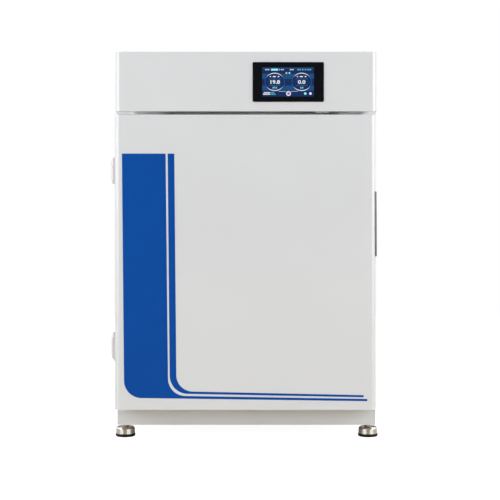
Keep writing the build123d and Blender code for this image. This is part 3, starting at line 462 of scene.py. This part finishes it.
def display_picture():
    """Two ring gauges with their readings, a status bar, icons and a round button."""
    navy = glowing("ui_navy", srgb(14, 42, 90))
    blue = glowing("ui_blue", srgb(26, 74, 126))
    deep = glowing("ui_deep", srgb(10, 44, 92))
    white = glowing("ui_white", srgb(236, 238, 246))
    pale = glowing("ui_pale", srgb(196, 206, 226))
    cyan = glowing("ui_cyan", srgb(150, 240, 250))
    teal = glowing("ui_teal", srgb(92, 176, 196))
    yellow = glowing("ui_yellow", srgb(226, 208, 120))
    red = glowing("ui_red", srgb(216, 40, 52))
    wide = (0.0, ui_width / MM)
    tall = ui_height / MM
    ui_piece("ui_background", [ui_box(wide, (0.0, tall))], navy, 0)
    bands = [ui_box(wide, (0.0, 3.0)), ui_box(wide, (18.5, 33.5)), ui_box(wide, (53.5, 68.5))]
    ui_piece("ui_bands", bands, blue, 1)
    low_bar = [ui_box(wide, (73.0, tall))]
    ui_piece("ui_lower_bar", low_bar, deep, 1)

    rings = (37.2, 117.6)
    ring_y, ring_r = 42.6, 29.0
    discs = [ui_disc(x, ring_y, ring_r - 0.6, 64, RING_SQUASH) for x in rings]
    ui_piece("ui_dials", discs, deep, 2)
    glow = []
    arcs = []
    for x in rings:
        glow += ui_arc(x, ring_y, ring_r, 0, 62, 1.1)
        glow += ui_arc(x, ring_y, ring_r, 180, 62, 1.1)
        arcs += ui_arc(x, ring_y, ring_r, 90, 56, 2.4)
        arcs += ui_arc(x, ring_y, ring_r, 270, 56, 2.4)
    ui_piece("ui_ring_sides", glow, glowing("ui_ring_blue", srgb(48, 96, 160)), 3)
    ui_piece("ui_ring_arcs", arcs, white, 4)
    bars = []
    for x in rings:
        for y in (33.8, 53.4):
            bars.append(ui_box((x - 18.5, x + 18.5), (y - 0.6, y + 0.6)))
    ui_piece("ui_dial_bars", bars, glowing("ui_bar_teal", srgb(48, 104, 142)), 3)

    for index, (x, reading, target) in enumerate(zip(rings, ("19.8", "0.0"), ("37.0", "5.0"))):
        ui_text(f"ui_reading_{index}", reading, x, 43.6, 10.6, white, 4)
        ui_text(f"ui_target_{index}", target, x, 60.2, 4.6, cyan, 4)
    labels = []
    for x in rings:
        for dx, half in ((-12.5, 1.6), (-1.0, 4.4), (11.5, 2.2)):
            labels.append(ui_box((x + dx - half, x + dx + half), (25.2, 28.4)))
    ui_piece("ui_dial_labels", labels, white, 4)

    marks = [(8.5, 12.2), (13.0, 17.0), (17.8, 21.6), (49.6, 52.8), (55.4, 59.6), (60.4, 64.4),
             (82.0, 87.4), (88.2, 93.8)]
    ui_piece("ui_status_marks", [ui_box(m, (4.6, 7.8)) for m in marks], pale, 2)
    ui_piece("ui_status_tab", [ui_box((26.4, 47.2), (3.4, 9.2))], cyan, 2)
    boxes = [ui_box((68.2, 76.0), (3.4, 9.0)), ui_box((96.4, 102.6), (3.4, 9.0))]
    ui_piece("ui_status_boxes", boxes, deep, 2)
    ticks = [ui_box((x, x + 4.6), (4.2, 8.2)) for x in (104.5, 111.0, 118.5, 126.5, 134.5, 141.0)]
    ui_piece("ui_status_ticks", ticks, teal, 2)

    ui_piece("ui_icon_sun", [ui_disc(72.2, 16.2, 2.6, 12)], yellow, 2)
    ui_piece("ui_icon_drop", [ui_disc(81.2, 16.2, 2.8, 6)], cyan, 2)
    link = [ui_box((49.0, 70.0), (70.4, 71.6)), ui_box((86.0, 106.0), (70.4, 71.6))]
    ui_piece("ui_link_line", link, pale, 2)
    ring_pale = glowing("ui_ring_pale", srgb(150, 190, 224))
    ui_piece("ui_button", [ui_disc(*BUTTON, 7.3, 40)], white, 3)
    ui_piece("ui_button_ring", [ui_disc(*BUTTON, 5.4, 40)], ring_pale, 4)
    ui_piece("ui_button_dot", [ui_disc(*BUTTON, 2.9, 24)], red, 5)
    ui_piece("ui_icon_left", [ui_disc(128.2, 77.4, 3.8, 24)], cyan, 2)
    ui_piece("ui_icon_right", [ui_disc(143.6, 77.4, 3.8, 24)], white, 2)

    rows = ((73.2, (5.0, 24.0), (24.8, 36.5)), (77.8, (2.6, 24.0), (24.8, 40.4)))
    pale_bars = []
    teal_bars = []
    for y, light, green in rows:
        for start, end, store in ((*light, pale_bars), (*green, teal_bars)):
            count = max(2, round((end - start) / 3.6))
            pitch = (end - start) / count
            for step in range(count):
                x = start + step * pitch
                store.append(ui_box((x, x + pitch * 0.84), (y, y + 3.2)))
    ui_piece("ui_clock_bars", pale_bars, white, 2)
    ui_piece("ui_date_bars", teal_bars, teal, 2)


# ---- seals --------------------------------------------------------------------------------------
def seals():
    """Bellows gasket of the outer door and bulb gasket of the glass door."""
    low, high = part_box("door_gasket")
    back, front = low.y, high.y
    depth = front - back
    shape = ((0, 0), (22, 0), (22, 0.12), (18.2, 0.2), (16.2, 0.36), (19.0, 0.52), (21, 0.6),
             (21.4, 0.9), (20.4, 1), (2.6, 1), (1.0, 0.9), (1.4, 0.6), (3.4, 0.52), (6.2, 0.36),
             (4.2, 0.2), (0, 0.12))
    profile = [(inset * MM, back + depth * t) for inset, t in shape]
    mesh = frame_sweep("seal_door", (low.x, high.x), (low.z, high.z), 24 * MM, profile)
    made = piece("seal_door", mesh, MATERIALS["grey_silicone"], "door")
    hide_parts("door_gasket")

    low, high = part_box("glass_gasket")
    depth = high.y - low.y
    profile = [(0.0, high.y), (9 * MM, high.y), (9 * MM, high.y - depth * 0.3)]
    for step in range(9):
        angle = math.pi * step / 8
        profile.append((
            (4.5 + 3.1 * math.cos(angle)) * MM,
            high.y - depth * (0.55 + 0.45 * math.sin(angle)),
        ))
    profile.append((0.0, high.y - depth * 0.3))
    mesh = frame_sweep("seal_glass", (low.x, high.x), (low.z, high.z), 14 * MM, profile)
    made = piece("seal_glass", mesh, MATERIALS["grey_silicone"], "root")
    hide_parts("glass_gasket")


# ---- screws -------------------------------------------------------------------------------------
# radius and height in millimetres
SCREW_RINGS = ((4.5, 0.0), (4.5, 0.7), (4.2, 1.3), (3.5, 1.9), (2.6, 2.35), (2.1, 2.45),
               (1.7, 2.3), (1.5, 1.0), (0.4, 0.8))
RECESS_FROM = 5                      # the highest ring; from here on they follow the recess
SCREW_STEPS = 36


def lobes(index, angle):
    """Share of a ring's radius at an angle: six lobes inside the recess, round elsewhere."""
    return 1 + 0.13 * math.cos(6 * angle) if index >= RECESS_FROM else 1.0


def screw_heads(name, node, body):
    """Domed six-lobe heads in place of the plain ones of a node."""
    rings = [(radius * MM, height * MM) for radius, height in SCREW_RINGS]
    head = SCREW_RINGS[RECESS_FROM][1] * MM
    vertices = []
    faces = []
    for low, high in islands(node):
        centre = (low + high) / 2
        if high.x - low.x > high.y - low.y:
            base = Vector((low.x + head, centre.y, centre.z))
            turn = Matrix.Rotation(-math.pi / 2, 4, "Y")
        else:
            base = Vector((centre.x, high.y - head, centre.z))
            turn = Matrix.Rotation(-math.pi / 2, 4, "X")
        points, quads = lathe(rings, SCREW_STEPS, Matrix.Translation(base) @ turn, lobes)
        start = len(vertices)
        vertices += points
        faces += [tuple(start + index for index in face) for face in quads]
    mesh = mesh_from(name, vertices, faces, SMOOTH_ANGLE)
    made = piece(name, mesh, MATERIALS["chrome"], body)
    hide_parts(node)


# ---- feet ---------------------------------------------------------------------------------------
# radius in millimetres and height as a share of the pad's own
PAD_RINGS = ((24.0, 0.0), (27.0, 0.0), (28.6, 0.08), (29.7, 0.2), (30.0, 0.34), (30.0, 0.46),
             (29.3, 0.5), (29.3, 0.56), (30.0, 0.6), (30.0, 0.84), (29.4, 0.95), (28.6, 1.0))
PAD_STEPS = 96                       # facets round a pad, and round the floor


def foot_pads():
    """Rubber bases with a moulded groove round them."""
    for place in ("front_left", "rear_left", "front_right", "rear_right"):
        low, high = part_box(f"foot_pad_{place}")
        centre = Vector(((low.x + high.x) / 2, (low.y + high.y) / 2, low.z))
        rings = [(radius * MM, share * (high.z - low.z)) for radius, share in PAD_RINGS]
        points, faces = lathe(rings, PAD_STEPS, Matrix.Translation(centre))
        name = f"rubber_base_{place}"
        mesh = mesh_from(name, points, faces, SMOOTH_ANGLE)
        made = piece(name, mesh, MATERIALS["black_rubber"], f"foot_{place}")
        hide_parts(f"foot_pad_{place}")


# ---- floor, lights and camera -------------------------------------------------------------------
def disc(name, radius, height, paint):
    """A flat round sheet under the feet."""
    angles = [2 * math.pi * step / PAD_STEPS for step in range(PAD_STEPS)]
    ring = [(radius * math.cos(a), radius * math.sin(a), 0) for a in angles]
    mesh = mesh_from(name, ring, [tuple(range(PAD_STEPS))])
    mesh.materials.append(paint)
    sheet = bpy.data.objects.new(name, mesh)
    bpy.context.scene.collection.objects.link(sheet)
    sheet.location.z = height
    return sheet


def floor():
    """A white floor for the camera, and a warm glossy one below it for bounce and mirroring."""
    white = surface(
        "studio_floor", (0.28, 0.28, 0.28, 1.0), 0.8,
        Emission_Color=(1.0, 1.0, 1.0, 1.0), Emission_Strength=0.95,
    )
    seen = disc("studio_floor", 4.0, -0.0004, mottle(white, (0.30, 0.30, 0.30, 1.0), 2.0))
    seen.visible_diffuse = False
    seen.visible_glossy = False
    seen.visible_shadow = False
    warm = surface("bounce_floor", (0.82, 0.71, 0.51, 1.0), 0.15, Specular_IOR_Level=0.9)
    bounce = disc("bounce_floor", 9.0, -0.002, mottle(warm, (0.79, 0.68, 0.48, 1.0), 2.0))
    bounce.visible_camera = False


def softbox(name, place, target, size, power):
    """A rectangular area light that faces a target."""
    light = bpy.data.lights.new(name, "AREA")
    light.shape = "RECTANGLE"
    light.size, light.size_y = size
    light.energy = power
    lamp = bpy.data.objects.new(name, light)
    bpy.context.scene.collection.objects.link(lamp)
    lamp.location = place
    lamp.rotation_euler = (Vector(target) - Vector(place)).to_track_quat("-Z", "Y").to_euler()


def ramp(tree, value, start, end, low, high):
    """Maps a value smoothly from one range to another in the world's nodes."""
    node = tree.nodes.new("ShaderNodeMapRange")
    node.interpolation_type = "SMOOTHSTEP"
    node.inputs["From Min"].default_value = start
    node.inputs["From Max"].default_value = end
    node.inputs["To Min"].default_value = low
    node.inputs["To Max"].default_value = high
    tree.links.new(value, node.inputs["Value"])
    return node.outputs["Result"]


def absolute(tree, value):
    """Size of a value without its sign, in the world's nodes."""
    node = tree.nodes.new("ShaderNodeMath")
    node.operation = "ABSOLUTE"
    tree.links.new(value, node.inputs[0])
    return node.outputs[0]


def product(tree, values):
    """All the values multiplied together in the world's nodes."""
    result = values[0]
    for value in values[1:]:
        node = tree.nodes.new("ShaderNodeMath")
        node.operation = "MULTIPLY"
        tree.links.new(result, node.inputs[0])
        tree.links.new(value, node.inputs[1])
        result = node.outputs[0]
    return result


def studio():
    """A white room: bright bands at the sides, dimmer rear and ceiling, a dim patch in front."""
    world = bpy.data.worlds.new("studio")
    bpy.context.scene.world = world
    world.use_nodes = True
    tree = world.node_tree
    place = tree.nodes.new("ShaderNodeTexCoord")
    split = tree.nodes.new("ShaderNodeSeparateXYZ")
    tree.links.new(place.outputs["Generated"], split.inputs[0])
    sideways = absolute(tree, split.outputs["X"])
    rise = ramp(tree, sideways, 0.30, 0.46, 0.67, 2.75)
    fall = ramp(tree, sideways, 0.80, 0.96, 1.0, 0.33)
    front = ramp(tree, split.outputs["Y"], -0.965, -0.88, 0.1, 1.0)
    back = ramp(tree, split.outputs["Y"], 0.1, 0.6, 1.0, 0.45)
    high = ramp(tree, split.outputs["Z"], 0.35, 0.80, 1.0, 0.58)
    sky = tree.nodes["Background"]
    sky.inputs["Color"].default_value = (0.985, 0.995, 1.03, 1.0)
    strength = product(tree, [rise, fall, back, high, front])
    tree.links.new(strength, sky.inputs["Strength"])
    seen = tree.nodes.new("ShaderNodeBackground")
    seen.inputs["Color"].default_value = (1.0, 1.0, 1.0, 1.0)
    path = tree.nodes.new("ShaderNodeLightPath")
    pick = tree.nodes.new("ShaderNodeMixShader")
    tree.links.new(path.outputs["Is Camera Ray"], pick.inputs[0])
    tree.links.new(sky.outputs[0], pick.inputs[1])
    tree.links.new(seen.outputs[0], pick.inputs[2])
    tree.links.new(pick.outputs[0], tree.nodes["World Output"].inputs["Surface"])
    softbox("left_box", (-2.2, -1.1, 1.3), (-0.4, -0.39, 0.9), (1.0, 1.2), 8)
    softbox("right_box", (2.2, -1.1, 1.2), (0.4, -0.39, 0.9), (1.0, 1.2), 9)
    bpy.context.scene.view_settings.view_transform = "Standard"


def camera():
    """Straight-on view along +Y, a little right of the middle, shifted down to frame the object."""
    data = bpy.data.cameras.new("camera")
    data.sensor_width = 36.0
    data.lens = 94.32
    data.shift_x = -0.0456
    data.shift_y = -0.1001
    view = bpy.data.objects.new("camera", data)
    bpy.context.scene.collection.objects.link(view)
    view.location = (0.080, -4.290, 0.722)
    view.rotation_euler = (math.pi / 2, 0.0, 0.0)
    bpy.context.scene.camera = view


display_picture()
seals()
screw_heads("cabinet_screw_heads", "cabinet_screws", "root")
screw_heads("door_screw_heads", "door_screws", "door")
foot_pads()
soften(("door_shell", "head_casing", "plinth", "top_cover"), 0.7 * MM)
floor()
studio()
camera()
